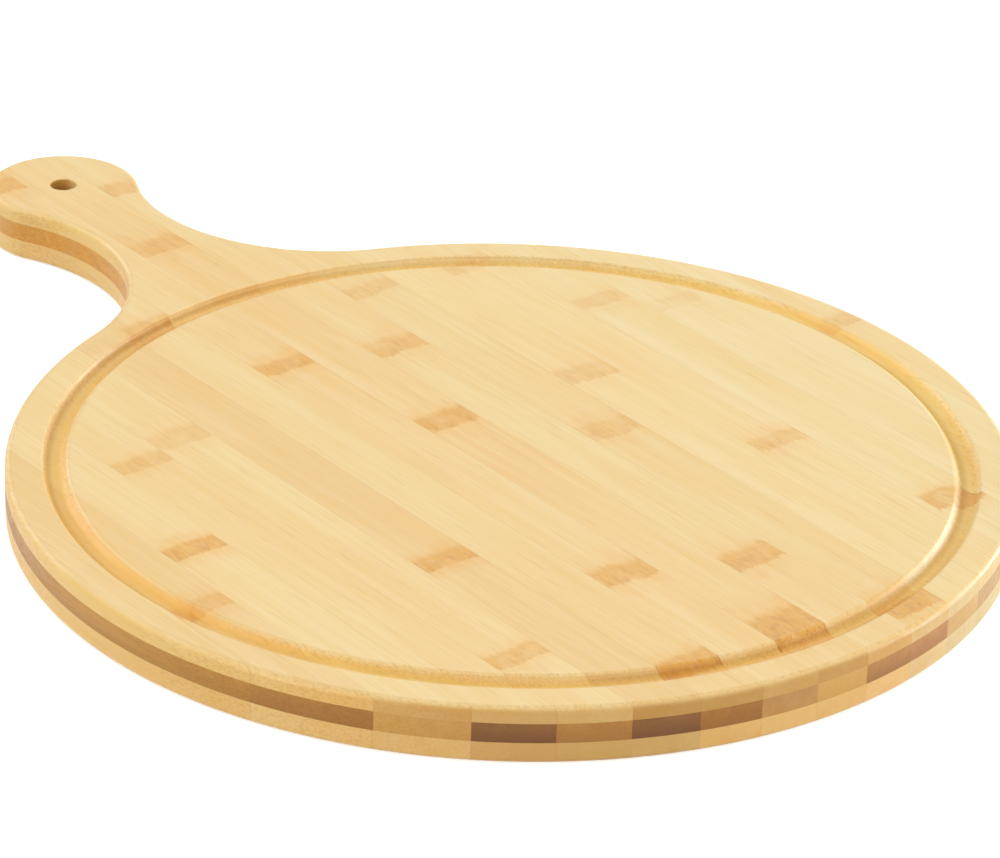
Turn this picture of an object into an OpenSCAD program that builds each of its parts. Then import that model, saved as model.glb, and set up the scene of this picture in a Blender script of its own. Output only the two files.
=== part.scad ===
// Round bamboo serving board with a long handle.
// Three plies of bamboo strips are glued one on another, all strips running along the handle.
// The origin is the middle of the round face on the underside, +Y points along the handle and +Z is up.

/* [Board] */
// Diameter of the round serving face
board_d = 350; // [300:5:380]
// Thickness of the top ply, the thinnest because its face is planed flat after the gluing
top_ply_t = 5.8; // [5:0.1:9]
// Thickness of the core ply
core_ply_t = 7; // [5:0.1:9]
// Thickness of the base ply
base_ply_t = 7.7; // [5:0.1:9]
// Radius that softens the upper edge all round
top_edge_r = 2.5; // [1:0.25:4]
// Radius that softens the lower edge all round
base_edge_r = 2; // [1:0.25:4]

/* [Juice groove] */
// Width of the groove at the serving face
groove_w = 8.5; // [6:0.1:12]
// Depth of the groove below the serving face
groove_depth = 3; // [1:0.1:3.5]
// Width of the flat rim outside the groove
rim_w = 12.8; // [8:0.2:25]

/* [Handle] */
// Distance from the rim of the disc to the middle of the hanging hole
handle_reach = 101; // [80:1:120]
// Width of the rounded end of the handle
handle_end_w = 57; // [50:1:66]
// Width of the neck at its narrowest
neck_w = 35; // [28:1:42]
// Diameter of the hanging hole
hole_d = 10; // [8:0.5:16]
// Radius that softens both edges of the hanging hole
hole_edge_r = 0.6; // [0.4:0.1:1.5]

/* [Bamboo strips] */
// Width of one glued strip
strip_w = 21.25; // [20.5:0.25:26]
// Place of the middle strip across the board, to the right of the handle's line
mid_strip_x = -1.75; // [-3:0.25:3]
// Narrowest strip that is left at the rim
rim_strip_w = 6; // [4:0.5:10]

/* [Hidden] */
$fn = 180;
// Reach of a cut past the face that it opens
overrun = 1;
// Depth by which the hollow sides of the neck lie inside the arcs that they run on from
blend_step = 0.08;
// Share of a rounding's radius by which its arc is drawn from further in, so that it meets both faces at a slight angle
break_share = 0.2;
// Reach of the neck past the middle of the disc and past the middle of the hole
disc_lap = 5;
end_lap = 0.8;

disc_r = board_d / 2;
end_r = handle_end_w / 2;
hole_y = disc_r + handle_reach;
hole_r = hole_d / 2;
waist = neck_w / 2;

// Each hollow side of the neck is one arc that touches the disc, the handle's end and the waist.
// Its middle lies at neck_r + waist from the middle line, which gives a quadratic for neck_r.
side_rise = (hole_y ^ 2 + disc_r ^ 2 - end_r ^ 2) / (2 * hole_y);
side_slope = (disc_r - end_r) / hole_y;
side_half = disc_r - waist - side_rise * side_slope;
side_rest = side_rise ^ 2 - disc_r ^ 2 + waist ^ 2;
neck_r = (side_half - sqrt(side_half ^ 2 - side_slope ^ 2 * side_rest)) / side_slope ^ 2;
neck_x = neck_r + waist;
neck_y = side_rise + side_slope * neck_r;
// Directions from the middle of the disc and of the handle's end to the middle of the right arc
disc_turn = atan2(neck_y, neck_x);
end_turn = atan2(neck_y - hole_y, neck_x);

// The groove is the part of a ring of round section that dips below the serving face.
groove_r = disc_r - rim_w - groove_w / 2;
groove_section_r = ((groove_w / 2) ^ 2 + groove_depth ^ 2) / (2 * groove_depth);

// Strip 0 runs through the handle, with the hanging hole, and strips are counted from it to both sides.
// The outermost strips take in what would be too narrow a strip of its own.
left_strip = ceil((rim_strip_w - disc_r - mid_strip_x) / strip_w - 1 / 2);
right_strip = floor((disc_r - rim_strip_w - mid_strip_x) / strip_w - 1 / 2) + 1;
strips = [left_strip : right_strip];

// Left side of strip k across the disc. Strip right_strip + 1 would begin past the rim.
function disc_side(k) =
    k == left_strip ? -disc_r - overrun
    : k > right_strip ? disc_r + overrun
    : mid_strip_x + (k - 1 / 2) * strip_w;
// Left side of strip k past the waist, where the outer strips of the neck take the handle's end to its edge
function end_side(k) =
    abs(disc_side(k)) > waist ? sign(disc_side(k)) * (end_r + overrun) : disc_side(k);

// Bamboo tones, from the pale natural strips to the dark steamed ones
tones = ["#ecd6a4", "#e2c48c", "#c99f62", "#a97845", "#8a5a30"];
top_tones = [1, 0, 1, 0, 0, 1, 0, 0, 1, 0, 0, 1, 0, 1, 0, 0, 1];
core_tones = [3, 4, 1, 4, 2, 4, 3, 2, 1, 3, 2, 1, 3, 2, 4, 3, 4];
base_tones = [0, 1, 0, 1, 1, 0, 1, 0, 0, 1, 0, 1, 1, 0, 1, 0, 1];

function tone(list, k) = tones[list[(k - left_strip) % len(list)]];
function place(k) = k == 0 ? "mid" : str(k < 0 ? "left_" : "right_", abs(k));
function names(ply) = [for (k = strips) str(ply, "_strip_", place(k))];

// What a rounding that starts r from a corner takes off it, drawn from the point r inside both faces
module corner_waste(r) {
    inset = r * break_share;
    arc_r = norm([inset, r + inset]);
    translate([-inset, -inset])
        difference() {
            square(arc_r + overrun);
            circle(r = arc_r);
        }
}

// Half section of a round ply of thickness t with its upper edge rounded, drawn from the axis outwards
module rim_section(t, radius, edge_r) {
    difference() {
        square([radius, t]);
        if (edge_r > 0)
            translate([radius - edge_r, t - edge_r]) corner_waste(edge_r);
    }
}

// Half section of the cut beside the neck: its wall, and the flare that rounds the upper edge
module neck_cut_section(t, radius, edge_r) {
    translate([0, -overrun]) square([radius, t + 2 * overrun]);
    if (edge_r > 0)
        translate([radius + edge_r, t - edge_r]) mirror([1, 0]) corner_waste(edge_r);
}

// The part of the ply between the disc and the handle's end, with its two hollow sides
module neck(t, edge_r) {
    difference() {
        linear_extrude(t)
            polygon([[0, -disc_lap], [neck_x, neck_y], [0, hole_y + end_lap], [-neck_x, neck_y]]);
        for (side = [-1, 1])
            translate([side * neck_x, neck_y, 0])
                rotate_extrude() neck_cut_section(t, neck_r + blend_step, edge_r);
    }
}

// One whole ply of thickness t standing on z = 0, its upper edge rounded by edge_r and its hole drilled
module ply(t, edge_r, hole_flare) {
    difference() {
        union() {
            rotate_extrude(angle = 180 + 2 * disc_turn, start = 180 - disc_turn)
                rim_section(t, disc_r, edge_r);
            neck(t, edge_r);
            translate([0, hole_y, 0])
                rotate_extrude(angle = 180 - 2 * end_turn, start = end_turn)
                    rim_section(t, end_r, edge_r);
        }
        translate([0, hole_y, 0])
            hanging_hole(t, hole_flare);
    }
}

// The drill's path through one ply, with the flare that rounds its upper edge
module hanging_hole(t, flare_r) {
    translate([0, 0, -overrun]) cylinder(r = hole_r, h = t + 2 * overrun);
    if (flare_r > 0)
        rotate_extrude()
            translate([hole_r + flare_r, t - flare_r]) mirror([1, 0]) corner_waste(flare_r);
}

// The part of a ply of thickness t that strip k covers, past the waist only where it runs through the neck
module strip(k, t) {
    height = t + 2 * overrun;
    disc_w = disc_side(k + 1) - disc_side(k);
    end_w = end_side(k + 1) - end_side(k);
    intersection() {
        children();
        union() {
            translate([disc_side(k), -disc_r - overrun, -overrun])
                cube([disc_w, disc_r + overrun + neck_y, height]);
            if (end_w > 0)
                translate([end_side(k), neck_y, -overrun])
                    cube([end_w, hole_y + end_r + overrun - neck_y, height]);
        }
    }
}

// Strip of the top ply, which carries the serving face and the juice groove
module top_strip(k) {
    color(tone(top_tones, k))
        translate([0, 0, base_ply_t + core_ply_t])
            strip(k, top_ply_t)
                difference() {
                    ply(top_ply_t, top_edge_r, hole_edge_r);
                    rotate_extrude()
                        translate([groove_r, top_ply_t - groove_depth + groove_section_r])
                            circle(r = groove_section_r);
                }
}

// Strip of the core ply, whose steamed strips show as dark blocks in the board's edge
module core_strip(k) {
    color(tone(core_tones, k))
        translate([0, 0, base_ply_t])
            strip(k, core_ply_t) ply(core_ply_t, 0, 0);
}

// Strip of the base ply, a ply turned over so that its rounded edge is below
module base_strip(k) {
    color(tone(base_tones, k))
        translate([0, 0, base_ply_t]) mirror([0, 0, 1])
            strip(k, base_ply_t) ply(base_ply_t, base_edge_r, hole_edge_r);
}

for (k = strips) {
    top_strip(k);
    core_strip(k);
    base_strip(k);
}
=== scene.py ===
import math

import bpy
from mathutils import Matrix, Vector


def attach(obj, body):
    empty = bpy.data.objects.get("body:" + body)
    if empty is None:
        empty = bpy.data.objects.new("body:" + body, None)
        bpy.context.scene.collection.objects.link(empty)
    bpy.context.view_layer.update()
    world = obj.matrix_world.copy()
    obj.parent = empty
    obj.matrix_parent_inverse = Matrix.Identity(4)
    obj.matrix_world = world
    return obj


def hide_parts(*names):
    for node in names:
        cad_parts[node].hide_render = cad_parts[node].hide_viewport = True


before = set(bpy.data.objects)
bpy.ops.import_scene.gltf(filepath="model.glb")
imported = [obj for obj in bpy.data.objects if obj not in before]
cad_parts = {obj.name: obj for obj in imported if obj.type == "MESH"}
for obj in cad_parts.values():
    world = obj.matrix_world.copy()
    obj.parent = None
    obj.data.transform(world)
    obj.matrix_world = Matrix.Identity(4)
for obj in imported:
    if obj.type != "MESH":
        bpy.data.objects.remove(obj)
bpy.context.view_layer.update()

# The board's blank. All three plies are sawn to one outline: a disc, a handle with a round end,
# and one hollow arc on each side of the neck that runs into both. Each ply is a bamboo panel 6 to
# 8 mm thick, and the strips are later sawn out of copies of it.
disc_r = 0.175
base_t, core_t, top_t = 0.0077, 0.007, 0.0058
board_top = base_t + core_t + top_t
end_r = 0.0285
hole_y = 0.276
hole_r = 0.005
waist = 0.0175

# Each hollow side touches the disc, the handle's end and the waist, and its radius solves a
# quadratic. Its middle is at neck_x to the right or left, and the two turns lead to it.
side_rise = (hole_y ** 2 + disc_r ** 2 - end_r ** 2) / (2 * hole_y)
side_slope = (disc_r - end_r) / hole_y
side_half = disc_r - waist - side_rise * side_slope
side_rest = side_rise ** 2 - disc_r ** 2 + waist ** 2
neck_r = (side_half - math.sqrt(side_half ** 2 - side_slope ** 2 * side_rest)) / side_slope ** 2
neck_x = neck_r + waist
neck_y = side_rise + side_slope * neck_r
disc_turn = math.atan2(neck_y, neck_x)
end_turn = math.atan2(neck_y - hole_y, neck_x)

# Facets along the arcs, and how far off its place a point may lie and still be found there
disc_steps, side_steps, end_steps = 318, 48, 78
slack = 1e-5


def only(piece):
    """Select one piece alone and make it active."""
    bpy.ops.object.select_all(action="DESELECT")
    piece.select_set(True)
    bpy.context.view_layer.objects.active = piece


def pick_edges(piece, test):
    """In edit mode, select the edges whose two ends both pass the test."""
    bpy.ops.mesh.select_mode(type="EDGE")
    bpy.ops.mesh.select_all(action="DESELECT")
    bpy.ops.object.mode_set(mode="OBJECT")
    points = piece.data.vertices
    for edge in piece.data.edges:
        edge.select = all(test(points[i].co) for i in edge.vertices)
    bpy.ops.object.mode_set(mode="EDIT")


def cut_away(piece, cutter):
    """Saw the cutter's shape out of the piece, and put the cutter away."""
    only(piece)
    saw = piece.modifiers.new("saw", "BOOLEAN")
    saw.operation = "DIFFERENCE"
    saw.solver = "EXACT"
    saw.object = cutter
    bpy.ops.object.modifier_apply(modifier=saw.name)
    bpy.data.objects.remove(cutter, do_unlink=True)


def blank_ply(name, bottom, thick):
    """One ply as a sharp-edged panel: a point is swept round the four arcs, filled and raised."""
    bpy.ops.object.select_all(action="DESELECT")
    bpy.ops.mesh.primitive_plane_add(size=thick)
    ply = bpy.context.object
    ply.name = name
    bpy.ops.object.mode_set(mode="EDIT")
    bpy.ops.mesh.select_mode(type="VERT")
    bpy.ops.mesh.select_all(action="SELECT")
    bpy.ops.mesh.merge(type="CENTER")
    start = (-disc_r * math.cos(disc_turn), disc_r * math.sin(disc_turn), bottom)
    bpy.ops.transform.translate(value=start)
    hollow = disc_turn - end_turn
    for middle, turn, steps in (
        ((0, 0, bottom), math.pi + 2 * disc_turn, disc_steps),
        ((neck_x, neck_y, bottom), -hollow, side_steps),
        ((0, hole_y, bottom), math.pi - 2 * end_turn, end_steps),
        ((-neck_x, neck_y, bottom), -hollow, side_steps),
    ):
        bpy.ops.mesh.spin(steps=steps, angle=turn, center=middle, axis=(0, 0, -1))
    bpy.ops.mesh.select_all(action="SELECT")
    bpy.ops.mesh.remove_doubles(threshold=slack)
    bpy.ops.mesh.edge_face_add()
    bpy.ops.mesh.extrude_region_move(TRANSFORM_OT_translate={"value": (0, 0, thick)})
    bpy.ops.mesh.select_all(action="SELECT")
    bpy.ops.mesh.normals_make_consistent(inside=False)
    bpy.ops.object.mode_set(mode="OBJECT")
    drill_middle = (0, hole_y, bottom + thick / 2)
    bpy.ops.mesh.primitive_cylinder_add(
        vertices=72, radius=hole_r, depth=3 * thick, location=drill_middle)
    cut_away(ply, bpy.context.object)
    return ply


def round_edges(ply, level, edge_r, hole_edge):
    """Soften the outline and the hole where they meet the flat face at this level."""
    only(ply)
    bpy.ops.object.mode_set(mode="EDIT")
    hole_middle = Vector((0, hole_y))
    near_hole = hole_r * 1.5
    pick_edges(ply, lambda p: abs(p.z - level) < slack and (p.xy - hole_middle).length > near_hole)
    bpy.ops.mesh.bevel(offset=edge_r, segments=7, affect="EDGES")
    pick_edges(ply, lambda p: abs(p.z - level) < slack and (p.xy - hole_middle).length < near_hole)
    bpy.ops.mesh.bevel(offset=hole_edge, segments=4, affect="EDGES")
    bpy.ops.object.mode_set(mode="OBJECT")


# The strips. Each ply is 17 bamboo strips, 21.25 mm wide, glued side by side along the handle. The
# middle one lies a little left of the handle's line. Here a copy of the ply is sawn along both
# seams of each strip, and takes the place of that strip's solid.
strip_w = 0.02125
mid_strip_x = -0.00175
strips = range(-8, 9)
# A rounded edge looks soft where its facets turn by less than this.
soft_turn = math.radians(32)


def place(k):
    """Strip k's place in words, counted from the middle strip."""
    return "mid" if k == 0 else f"left_{-k}" if k < 0 else f"right_{k}"


def strip_middle(k):
    """How far to the right of the handle's line the middle of strip k is."""
    return mid_strip_x + k * strip_w


def saw_strip(ply, ply_name, k):
    """Strip k of the ply as its own closed piece, with soft shading on its rounded edges only."""
    only(ply)
    bpy.ops.object.duplicate()
    strip = bpy.context.object
    strip.name = f"{ply_name}_bamboo_{place(k)}"
    bpy.ops.object.mode_set(mode="EDIT")
    for side, spare in ((-1, "clear_inner"), (1, "clear_outer")):
        if (k, side) in ((strips[0], -1), (strips[-1], 1)):
            continue
        bpy.ops.mesh.select_all(action="SELECT")
        seam_point = (strip_middle(k) + side * strip_w / 2, 0, 0)
        bpy.ops.mesh.bisect(
            plane_co=seam_point, plane_no=(1, 0, 0), use_fill=True, threshold=1e-6,
            **{spare: True})
    bpy.ops.object.mode_set(mode="OBJECT")
    bpy.ops.object.shade_smooth_by_angle(angle=soft_turn)
    even = strip.modifiers.new("even", "WEIGHTED_NORMAL")
    even.keep_sharp = True
    bpy.ops.object.modifier_apply(modifier=even.name)
    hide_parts(f"{ply_name}_strip_{place(k)}")
    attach(strip, "root")
    return strip


# Bamboo, as every strip shows it: broad pale bands and fine streaks that run the whole length, a
# few thin dark fibres, slow golden clouds, fibre ends where the wood is cut across, a hair-thin
# glue seam, and at each joint of the cane an orange-brown patch that crosses the strip.
def paint(code):
    """A colour as linear light from its six-digit screen code."""
    parts = [int(code[i:i + 2], 16) / 255 for i in (0, 2, 4)]
    return (*((c / 12.92 if c <= 0.04045 else ((c + 0.055) / 1.055) ** 2.4) for c in parts), 1)


def empty_tree(holder):
    """The node tree of a material or a world, with nothing in it."""
    holder.use_nodes = True
    holder.node_tree.nodes.clear()
    return holder.node_tree


def group(name, inputs, outputs):
    """An empty node group with float and vector inputs, and float outputs."""
    tree = bpy.data.node_groups.new(name, "ShaderNodeTree")
    for label, kind in inputs:
        tree.interface.new_socket(label, in_out="INPUT", socket_type=kind)
    for label in outputs:
        tree.interface.new_socket(label, in_out="OUTPUT", socket_type="NodeSocketFloat")
    return tree, tree.nodes.new("NodeGroupInput").outputs, tree.nodes.new("NodeGroupOutput").inputs


def feed(tree, socket, value):
    """Give a socket what another socket puts out, or a constant."""
    if isinstance(value, bpy.types.NodeSocket):
        tree.links.new(value, socket)
    else:
        socket.default_value = value


def math_node(tree, operation, a, b=0.0, c=0.0):
    """A sum, product or other operation on sockets or numbers."""
    node = tree.nodes.new("ShaderNodeMath")
    node.operation = operation
    for socket, value in zip(node.inputs, (a, b, c)):
        feed(tree, socket, value)
    return node.outputs[0]


def product(tree, first, *others):
    """All the values multiplied together."""
    for other in others:
        first = math_node(tree, "MULTIPLY", first, other)
    return first


def vector_node(tree, operation, a, b=(0, 0, 0)):
    """An operation on vectors, which puts out Vector or Value."""
    node = tree.nodes.new("ShaderNodeVectorMath")
    node.operation = operation
    for socket, value in zip(node.inputs, (a, b)):
        feed(tree, socket, value)
    return node.outputs


def apart(tree, vector):
    """The x, y and z of a vector."""
    node = tree.nodes.new("ShaderNodeSeparateXYZ")
    feed(tree, node.inputs[0], vector)
    return node.outputs


def ramp(tree, value, start, end, low=0.0, high=1.0):
    """The value's way from start to end, eased, as low to high."""
    node = tree.nodes.new("ShaderNodeMapRange")
    node.interpolation_type = "SMOOTHSTEP"
    feed(tree, node.inputs["Value"], value)
    for label, number in (("From Min", start), ("From Max", end), ("To Min", low), ("To Max", high)):
        node.inputs[label].default_value = number
    return node.outputs[0]


def noise(tree, given, scale, detail, roughness):
    """Soft noise at the strip's own shift, with its waves per metre along x, y and z as scale."""
    moved = vector_node(tree, "ADD", given["Place"], given["Shift"])["Vector"]
    stretched = vector_node(tree, "MULTIPLY", moved, scale)["Vector"]
    node = tree.nodes.new("ShaderNodeTexNoise")
    feed(tree, node.inputs["Vector"], stretched)
    node.inputs["Scale"].default_value = 1.0
    node.inputs["Detail"].default_value = detail
    node.inputs["Roughness"].default_value = roughness
    return node.outputs["Fac"]


def ragged(tree, given, value, reach, scale, detail, roughness):
    """The value with noise added that swings evenly round zero, over the reach from end to end."""
    wave = noise(tree, given, scale, detail, roughness)
    return math_node(tree, "ADD", value, math_node(tree, "MULTIPLY_ADD", wave, reach, -reach / 2))


# The grain. Each mask is noise that is drawn out along the strip, from broad bands to fine pores.
spot_inputs = (("Place", "NodeSocketVector"), ("Shift", "NodeSocketVector"))
grain, given, made = group("Bamboo grain", spot_inputs, ("Band", "Streak", "Fibre", "Cloud", "Pores"))
for mask, scale, detail, roughness, start, end in (
    ("Band", (150, 4, 150), 2, 0.5, 0.34, 0.66),
    ("Streak", (560, 15, 560), 3, 0.6, 0.34, 0.68),
    ("Fibre", (1250, 42, 1250), 2, 0.6, 0.56, 0.74),
    ("Cloud", (34, 8, 34), 3, 0.55, 0.42, 0.68),
    ("Pores", (1600, 300, 1600), 2, 0.6, 0.46, 0.62),
):
    pattern = noise(grain, given, scale, detail, roughness)
    feed(grain, made[mask], ramp(grain, pattern, start, end))

# The patch at a joint of the cane: solid, with fibre strokes and pale flecks in it and a golden
# glow round it. Distances from the joint are measured in its own length.
joint, given, made = group(
    "Cane joint",
    spot_inputs + (("Along", "NodeSocketFloat"), ("Length", "NodeSocketFloat")),
    ("Patch", "Strokes", "Flecks", "Glow"),
)
away = math_node(joint, "SUBTRACT", apart(joint, given["Place"])["Y"], given["Along"])
away = math_node(joint, "DIVIDE", away, given["Length"])
glow_away = ragged(joint, given, away, 2.2, (150, 90, 60), 3, 0.6)
glow = product(joint, ramp(joint, glow_away, -1.6, -0.2), ramp(joint, glow_away, 1.5, 0.2))
away = ragged(joint, given, away, 0.5, (90, 12, 60), 1, 0.5)
away = ragged(joint, given, away, 0.42, (1100, 20, 700), 2, 0.6)
worn = ramp(joint, noise(joint, given, (130, 110, 90), 2, 0.5), 0.3, 0.56, 0.45, 1.0)
patch = product(joint, ramp(joint, away, -0.58, -0.46), ramp(joint, away, 0.62, 0.25), worn)
strokes = ramp(joint, noise(joint, given, (520, 150, 400), 3, 0.65), 0.46, 0.66)
flecks = ramp(joint, noise(joint, given, (900, 170, 700), 2, 0.6), 0.42, 0.34)
feed(joint, made["Patch"], patch)
feed(joint, made["Strokes"], product(joint, strokes, ramp(joint, away, 0.75, -0.4, 0.25, 1.0), patch))
feed(joint, made["Flecks"], product(joint, patch, flecks))
feed(joint, made["Glow"], glow)

# The glue seam at both sides of a strip, which darkens its last third of a millimetre.
seam_fade = 0.0003, 0.00005
seam, given, made = group(
    "Glue seam",
    (("Place", "NodeSocketVector"), ("Middle", "NodeSocketFloat"), ("Width", "NodeSocketFloat")),
    ("Seam",),
)
from_middle = math_node(seam, "SUBTRACT", apart(seam, given["Place"])["X"], given["Middle"])
from_middle = math_node(seam, "ABSOLUTE", from_middle)
from_side = math_node(seam, "SUBTRACT", product(seam, given["Width"], 0.5), from_middle)
feed(seam, made["Seam"], ramp(seam, from_side, *seam_fade))

# The faces that the cutter has left: the board's edge and the groove below the planed face. Where
# they slant across the fibres, the pores show. In the groove, painted shade stains the long grain a
# deeper gold.
just_below = 0.0004, 0.002
milled, given, made = group(
    "Milled face",
    (("Place", "NodeSocketVector"), ("Normal", "NodeSocketVector"),
     ("Pores", "NodeSocketFloat"), ("Level", "NodeSocketFloat")),
    ("Milled", "Across", "Dots", "Groove shade"),
)
normal = apart(milled, given["Normal"])
steep = ramp(milled, math_node(milled, "ABSOLUTE", normal["Z"]), 0.9, 0.35)
depth = math_node(milled, "SUBTRACT", given["Level"], apart(milled, given["Place"])["Z"])
below = ramp(milled, depth, *just_below)
feed(milled, made["Milled"], math_node(milled, "MAXIMUM", steep, below))
facing_end = math_node(milled, "ABSOLUTE", normal["Y"])
across = ramp(milled, facing_end, 0.15, 0.85)
feed(milled, made["Across"], across)
slanting = product(milled, ramp(milled, facing_end, 0.05, 0.3), ramp(milled, facing_end, 0.9, 0.5))
feed(milled, made["Dots"], product(milled, slanting, given["Pores"]))
# What lies below the face, but within the rim and no deeper than 4 mm, can only be the groove.
within_rim = disc_r - 0.010, disc_r - 0.0115
no_deeper = 0.0045, 0.0035
flat_place = vector_node(milled, "MULTIPLY", given["Place"], (1, 1, 0))["Vector"]
from_axis = vector_node(milled, "LENGTH", flat_place)["Value"]
# Painted shade: below the face in the groove, the long grain is darkened to a deeper gold.
groove = product(milled, below, ramp(milled, from_axis, *within_rim), ramp(milled, depth, *no_deeper))
feed(milled, made["Groove shade"], product(milled, groove, ramp(milled, across, 1.0, 0.0)))

# The grain's shift from one strip to the next along x, y and z, and the number of strips by which
# it is shifted from one ply to the next, so that no two strips are alike
grain_shift = (0.37, 0.53, 0.11)
ply_shift = 40
# Where a golden lane that leads up to a joint fades in, and where it ends, along from the joint
lane_start = -0.11, -0.03
lane_end = 0.01, -0.01


def bamboo(name, k, ply, pale, warm, level, cut, end, joints=(), trail=0.0, low=None):
    """The finish of strip k, whose planed face lies at the level. Cut and end tint its milled faces.

    The ply is 0 at the top, 1 in the core and 2 at the base. Joints are (share of the disc's radius
    towards the handle, length, strength), and the trail is how strongly a golden lane leads up to
    the first of them. The low colour is what the strip turns to towards its underside.
    """
    finish = bpy.data.materials.new(name)
    tree = empty_tree(finish)
    shader = tree.nodes.new("ShaderNodeBsdfPrincipled")
    out = tree.nodes.new("ShaderNodeOutputMaterial")
    feed(tree, out.inputs["Surface"], shader.outputs[0])
    spot = tree.nodes.new("ShaderNodeTexCoord")
    here = spot.outputs["Object"]

    def use(kind, **values):
        """The masks of a node group that is placed here with the given values."""
        node = tree.nodes.new("ShaderNodeGroup")
        node.node_tree = kind
        for label, value in values.items():
            feed(tree, node.inputs[label], value)
        return node.outputs

    def blend(share, under, over, kind="MIX"):
        """The colour over the one under it, by the share."""
        node = tree.nodes.new("ShaderNodeMix")
        node.data_type = "RGBA"
        node.blend_type = kind
        for number, value in ((0, share), (6, under), (7, over)):
            feed(tree, node.inputs[number], value)
        return node.outputs[2]

    def lay(under, mask, strength, code):
        """A tone laid over the colour where the mask shows."""
        return blend(product(tree, mask, strength), under, paint(code))

    def stain(under, mask, strength, code):
        """The colour stained with a tint where the mask shows."""
        return blend(product(tree, mask, strength), under, paint(code), "MULTIPLY")

    number = k + ply_shift * ply
    shift = tuple(step * number for step in grain_shift)
    wood = use(grain, Place=here, Shift=shift)
    faces = use(milled, Place=here, Normal=spot.outputs["Normal"], Pores=wood["Pores"], Level=level)
    glue = use(seam, Place=here, Middle=strip_middle(k), Width=strip_w)
    colour = paint(pale)
    if low:
        height = ramp(tree, apart(tree, here)["Z"], base_t, base_t + core_t)
        colour = blend(height, paint(low), colour)
    colour = lay(colour, wood["Band"], 0.45, warm)
    colour = lay(colour, wood["Streak"], 0.4, warm)
    colour = stain(colour, wood["Cloud"], 0.3, "fbe6bc")
    colour = stain(colour, wood["Fibre"], 0.22, "e2bd88")
    for along, length, strength in joints:
        mark = use(joint, Place=here, Shift=shift, Along=along * disc_r, Length=length)
        colour = stain(colour, mark["Glow"], 0.36 * strength, "fbd48c")
        colour = lay(colour, mark["Patch"], strength, "e3aa4c")
        colour = lay(colour, mark["Strokes"], 0.6 * strength, "ca8c44")
        colour = lay(colour, mark["Flecks"], 0.3 * strength, "f0c984")
    if trail:
        along = math_node(tree, "SUBTRACT", apart(tree, here)["Y"], joints[0][0] * disc_r)
        lane = product(tree, ramp(tree, along, *lane_start), ramp(tree, along, *lane_end),
                       ramp(tree, wood["Band"], 0.1, 0.7))
        colour = lay(colour, lane, trail, "eec078")
    # On some strips the end tint carries painted light: a neutral painted sheen on the right ones,
    # and a lighter base.
    cutter = blend(faces["Across"], paint(cut), paint(end))
    colour = blend(faces["Milled"], colour, cutter, "MULTIPLY")
    # Painted shade in the groove: its long grain is stained a deeper gold.
    colour = stain(colour, faces["Groove shade"], 1.0, "fff3c8")
    colour = stain(colour, faces["Dots"], 0.22, "c99a5c")
    colour = stain(colour, glue["Seam"], 0.11, "b98d58")
    feed(tree, shader.inputs["Base Color"], colour)
    feed(tree, shader.inputs["Roughness"], ramp(tree, wood["Streak"], 0, 1, 0.36, 0.46))
    shader.inputs["Specular IOR Level"].default_value = 0.45
    bump = tree.nodes.new("ShaderNodeBump")
    bump.inputs["Distance"].default_value = 0.00006
    bump.inputs["Strength"].default_value = 0.3
    relief = math_node(tree, "MULTIPLY_ADD", faces["Dots"], -0.5, wood["Streak"])
    relief = math_node(tree, "MULTIPLY_ADD", glue["Seam"], -0.4, relief)
    feed(tree, bump.inputs["Height"], relief)
    feed(tree, shader.inputs["Normal"], bump.outputs[0])
    return finish


def dress(strip, finish):
    """Give the strip its finish."""
    strip.data.materials.clear()
    strip.data.materials.append(finish)


# The top ply, which carries the serving face. Its strips are natural pale bamboo. A round-nosed
# cutter has run a juice groove 8.5 mm wide round it, and the rim outside the groove is rounded.
top_edge_r = 0.0025
hole_edge_r = 0.0006
rim_w = 0.0128
groove_w = 0.0085
groove_depth = 0.003
groove_r = disc_r - rim_w - groove_w / 2
groove_section_r = ((groove_w / 2) ** 2 + groove_depth ** 2) / (2 * groove_depth)

top_ply = blank_ply("top_ply", base_t + core_t, top_t)
round_edges(top_ply, board_top, top_edge_r, hole_edge_r)
bpy.ops.mesh.primitive_torus_add(
    major_radius=groove_r, minor_radius=groove_section_r,
    major_segments=disc_steps, minor_segments=20,
    location=(0, 0, board_top - groove_depth + groove_section_r))
cut_away(top_ply, bpy.context.object)

# The groove's inner lip is sanded softer than its outer one.
lip_slack = 0.0002
bpy.ops.object.mode_set(mode="EDIT")
for lip_r, soft in ((groove_r - groove_w / 2, 0.0012), (groove_r + groove_w / 2, 0.0006)):
    pick_edges(top_ply,
               lambda p: abs(p.z - board_top) < slack and abs(p.xy.length - lip_r) < lip_slack)
    bpy.ops.mesh.bevel(offset=soft, segments=4, affect="EDGES")
bpy.ops.object.mode_set(mode="OBJECT")

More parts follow.
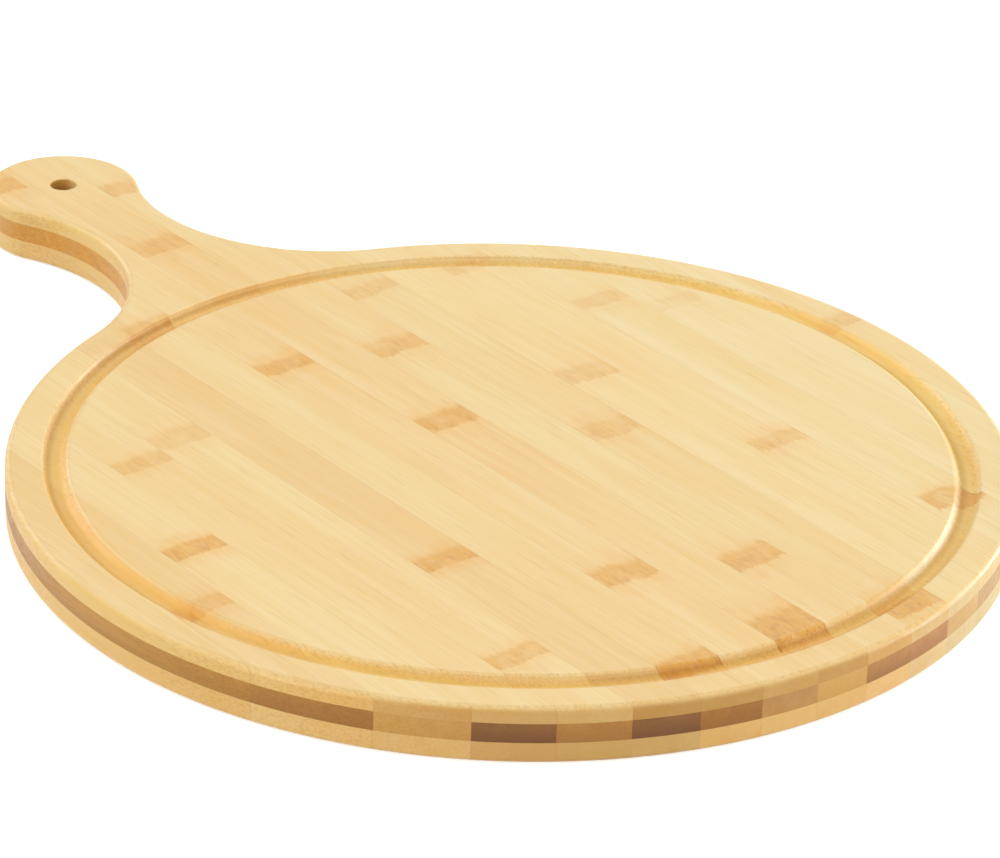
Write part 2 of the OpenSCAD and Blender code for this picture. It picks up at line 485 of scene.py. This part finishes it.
# A natural strip's pale tone and the warm one of its bands, from the deepest pair to the palest
honey, straw, cream = ("efcf90", "eac276"), ("f2d396", "edc77c"), ("f2d69a", "edca80")
ivory, milk = ("f5daa0", "f0ce86"), ("f5dea7", "f0d28c")
top_tones = {
    -8: honey, -7: honey, -6: cream, -5: cream, -4: cream, -3: honey, -2: cream, -1: straw,
    0: straw, 1: cream, 2: cream, 3: ivory, 4: ivory, 5: milk, 6: milk, 7: milk, 8: ivory,
}
long_joint, short_joint, broad_joint = 0.0125, 0.0095, 0.0165
top_joints = {
    -7: ((-0.143, short_joint, 0.65),),
    -6: ((0.047, short_joint, 1.2),),
    -5: ((0.395, short_joint, 0.55),),
    -4: ((0.447, long_joint, 0.35), (-0.635, short_joint, 0.7)),
    -3: ((-0.263, short_joint, 1.05), (0.87, short_joint, 0.15)),
    -2: ((-0.835, short_joint, 1.0), (0.885, long_joint, 0.6)),
    -1: ((0.583, short_joint, 0.9), (-0.503, long_joint, 0.8), (1.65, long_joint, 0.8)),
    0: ((0.197, long_joint, 1.0), (-0.832, broad_joint, 1.35), (1.20, long_joint, 0.65)),
    1: ((0.527, long_joint, 0.6), (-0.593, long_joint, 0.72), (1.49, long_joint, 0.5)),
    2: ((0.772, short_joint, 0.38), (-0.02, long_joint, 0.45), (-0.905, long_joint, 1.0)),
    3: ((0.202, long_joint, 0.4),),
    4: ((-0.255, short_joint, 0.55), (0.75, long_joint, 0.32)),
    5: ((0.452, short_joint, 0.3), (-0.63, long_joint, 0.7)),
    6: ((0.357, short_joint, 0.18),),
    8: ((0.085, short_joint, 0.35),),
}
# On the middle strip a golden lane leads up to its first joint.
top_trails = {0: 0.6}
# The tint of the sawn end differs from strip to strip. On most of the right strips it is a pale
# neutral grey, a painted sheen that stands in for light reflected off the board's right edge.
top_cut, top_end_and_sheen = "fffbe6", "e3e1dd"
top_ends_and_sheen = {
    -8: "f8dfb4", -7: "f8dfb4", -6: "dcbd90", -5: "e4cfb1", -4: "e9d8be", -3: "d2bb8e",
    -2: "d2bb8e", -1: "dcc8a4", 0: "d6bc8e", 1: "e2ccac", 2: "e6e4e0", 3: "dfddda",
}
for k in strips:
    strip = saw_strip(top_ply, "top", k)
    finish = bamboo(
        f"Top bamboo {place(k)}", k, 0, *top_tones[k], board_top, top_cut,
        top_ends_and_sheen.get(k, top_end_and_sheen), top_joints.get(k, ()), trail=top_trails.get(k, 0.0))
    dress(strip, finish)
bpy.data.objects.remove(top_ply, do_unlink=True)

# The core ply, hidden but for the board's edge. Several of its strips are steamed, which turns
# bamboo brown through and through, so the edge shows dark blocks between pale ones.
natural = ("tan_bamboo", "efcf9c", "e6bf84", "ebc88f")
light = ("tan_bamboo", "ddbb88", "d0a870", "e2c08a")
tan = ("tan_bamboo", "d4ac66", "c2944e", "c29854")
brown = ("brown_bamboo", "c4994e", "b0803c", "b48840")
dark = ("dark_bamboo", "a87e44", "906634", "865c2e")
core_tones = {
    -8: ("brown_bamboo", "d0a050", "b48440", "be9044"),
    -7: brown,
    -6: ("tan_bamboo", "ebc98a", "e0b86e", "e4c07a"),
    -5: dark, -4: tan, -3: dark, -2: brown, -1: light,
    0: ("tan_bamboo", *cream, cream[1]),
    1: ("brown_bamboo", "dbb076", "bc9056", "b48a54"),
    2: ("brown_bamboo", "d6ae7c", "c69868", "bc9060"),
    3: ("tan_bamboo", "ecd8b0", "e2c898", "e6cfa0"),
    4: ("tan_bamboo", "d8c4a0", "ccb48c", "d6c096"),
    5: natural, 6: dark, 7: brown, 8: dark,
}
# The strip in the handle's left side is orange-brown there, as one long joint would be.
core_joints = {-1: ((1.3, 0.15, 0.95),)}
core_cut, core_end = "f9edc3", "e1c79c"

core_ply = blank_ply("core_ply", base_t, core_t)
for k in strips:
    strip = saw_strip(core_ply, "core", k)
    slot, pale, warm, low = core_tones[k]
    finish = bamboo(
        f"Core bamboo {place(k)}", k, 1, pale, warm, board_top, core_cut, core_end,
        core_joints.get(k, ()), low=low)
    dress(strip, finish)
bpy.data.objects.remove(core_ply, do_unlink=True)

# The base ply, which the board lies on. Its strips are pale like the top's, and its lower edge is
# rounded a little less.
base_edge_r = 0.002
# The base's end tint is lighter than the top's and the core's: painted light that stands in for light
# thrown up from the table.
base_cut, base_end_and_bounce = "f9f1dc", "f2e0c3"
# On the right strips the end tint is a pale neutral grey: a painted sheen for light reflected off the
# edge.
base_ends_and_sheen = {
    -5: "e0cca8", -4: "dcc7a0", -3: "e2d4bb",
    1: "f6e9da", 2: "e9e2dc", 3: "dfdcd8", 4: "dbd9d5", 5: "dbd9d5",
}

base_ply = blank_ply("base_ply", 0, base_t)
round_edges(base_ply, 0, base_edge_r, hole_edge_r)
for k in strips:
    strip = saw_strip(base_ply, "base", k)
    pale, warm = milk if k > 1 else (cream, straw, ivory)[k % 3]
    finish = bamboo(
        f"Base bamboo {place(k)}", k, 2, pale, warm, base_t, base_cut, base_ends_and_sheen.get(k, base_end_and_bounce))
    dress(strip, finish)
bpy.data.objects.remove(base_ply, do_unlink=True)


# The table: a wide white floor, which the camera sees as white paper with the board's soft shadow.
# From below it can be seen through, so that the board's underside shows. It lies a tenth of a
# millimetre under the board, so that the two faces don't flicker into each other.
def in_sight(tree):
    """One for what the camera or a reflection sees, and zero for light on its way elsewhere."""
    rays = tree.nodes.new("ShaderNodeLightPath").outputs
    return math_node(tree, "MAXIMUM", rays["Is Camera Ray"], rays["Is Glossy Ray"])


floor_z = -0.0001
paper_glow = 0.55
bpy.ops.object.select_all(action="DESELECT")
bpy.ops.mesh.primitive_plane_add(size=8, location=(0, 0, floor_z))
floor = bpy.context.object
floor.name = "floor"
paper = bpy.data.materials.new("White paper")
tree = empty_tree(paper)
matt = tree.nodes.new("ShaderNodeBsdfDiffuse")
matt.inputs["Color"].default_value = (0.8, 0.8, 0.8, 1)
glow = tree.nodes.new("ShaderNodeEmission")
glow.inputs["Color"].default_value = (1, 1, 1, 1)
feed(tree, glow.inputs["Strength"], product(tree, in_sight(tree), paper_glow))
both = tree.nodes.new("ShaderNodeAddShader")
feed(tree, both.inputs[0], matt.outputs[0])
feed(tree, both.inputs[1], glow.outputs[0])
clear = tree.nodes.new("ShaderNodeBsdfTransparent")
turned = tree.nodes.new("ShaderNodeNewGeometry")
sheet = tree.nodes.new("ShaderNodeMixShader")
feed(tree, sheet.inputs[0], turned.outputs["Backfacing"])
feed(tree, sheet.inputs[1], both.outputs[0])
feed(tree, sheet.inputs[2], clear.outputs[0])
out = tree.nodes.new("ShaderNodeOutputMaterial")
feed(tree, out.inputs["Surface"], sheet.outputs[0])
floor.data.materials.append(paper)

# The room: white to the camera and in reflections. On the board and the table it throws a soft
# even light, a tenth as strong.
room_light, room_seen = 0.1, 1.0
world = bpy.data.worlds.new("Studio")
bpy.context.scene.world = world
tree = empty_tree(world)
room = tree.nodes.new("ShaderNodeBackground")
room.inputs["Color"].default_value = (1, 1, 1, 1)
feed(tree, room.inputs["Strength"], ramp(tree, in_sight(tree), 0, 1, room_light, room_seen))
out = tree.nodes.new("ShaderNodeOutputWorld")
feed(tree, out.inputs["Surface"], room.outputs[0])


# Low soft boxes stand round the board, and three hang high: at its left, behind it and overhead.
# Each is given by its turn from the camera and its rise in degrees, its size and its power.
def direction(turn, rise):
    """The way out from the board, turned from the front to the right and risen from the table."""
    level = math.cos(rise)
    return Vector((math.sin(turn) * level, -math.cos(turn) * level, math.sin(rise)))


camera_turn = math.radians(-39.2585)
lamp_far = 1.6
for name, turn, rise, size, power in (
    ("left front", -44, 20, 0.8, 9.3),
    ("left back", -130, 22, 0.8, 5.2),
    ("left high", -90, 50, 0.8, 4.4),
    ("right front", 42, 22, 0.7, 6.7),
    ("right", 92, 9, 0.5, 10.2),
    ("right back", 127, 9, 0.45, 11.9),
    ("back high", 180, 50, 0.8, 5.3),
    ("overhead", 0, 75, 0.8, 4.9),
):
    way = direction(camera_turn + math.radians(turn), math.radians(rise))
    bpy.ops.object.light_add(type="AREA", location=way * lamp_far)
    lamp = bpy.context.object
    lamp.name = name
    lamp.rotation_euler = way.to_track_quat("Z", "Y").to_euler()
    lamp.data.size = size
    lamp.data.energy = power

# The camera, at the photograph's angle: 27 degrees above the table, tipped by 1.9 degrees, with a
# long lens. The middle of the serving face falls on the given pixel of a 1000 x 858 picture.
camera_rise = math.radians(26.9836)
camera_tip = math.radians(1.8758)
camera_far = 10.306 * disc_r
picture_w, picture_h = 1000, 858
focal_pixels = 5206.13
middle_pixel = (511.93, 454.60)
sensor_w = 36

back = direction(camera_turn, camera_rise)
level_right = Vector((math.cos(camera_turn), math.sin(camera_turn), 0))
level_up = back.cross(level_right)
right = math.cos(camera_tip) * level_right + math.sin(camera_tip) * level_up
up = -math.sin(camera_tip) * level_right + math.cos(camera_tip) * level_up
aside = (middle_pixel[0] - picture_w / 2) / focal_pixels * camera_far
above = -(middle_pixel[1] - picture_h / 2) / focal_pixels * camera_far
eye = Vector((0, 0, board_top)) - aside * right - above * up + camera_far * back
bpy.ops.object.camera_add()
camera = bpy.context.object
camera.name = "camera"
camera.matrix_world = Matrix.Translation(eye) @ Matrix((right, up, back)).transposed().to_4x4()
camera.data.sensor_width = sensor_w
camera.data.lens = focal_pixels * sensor_w / picture_w
camera.data.clip_start = 0.05
bpy.context.scene.camera = camera
bpy.context.scene.view_settings.view_transform = "Standard"
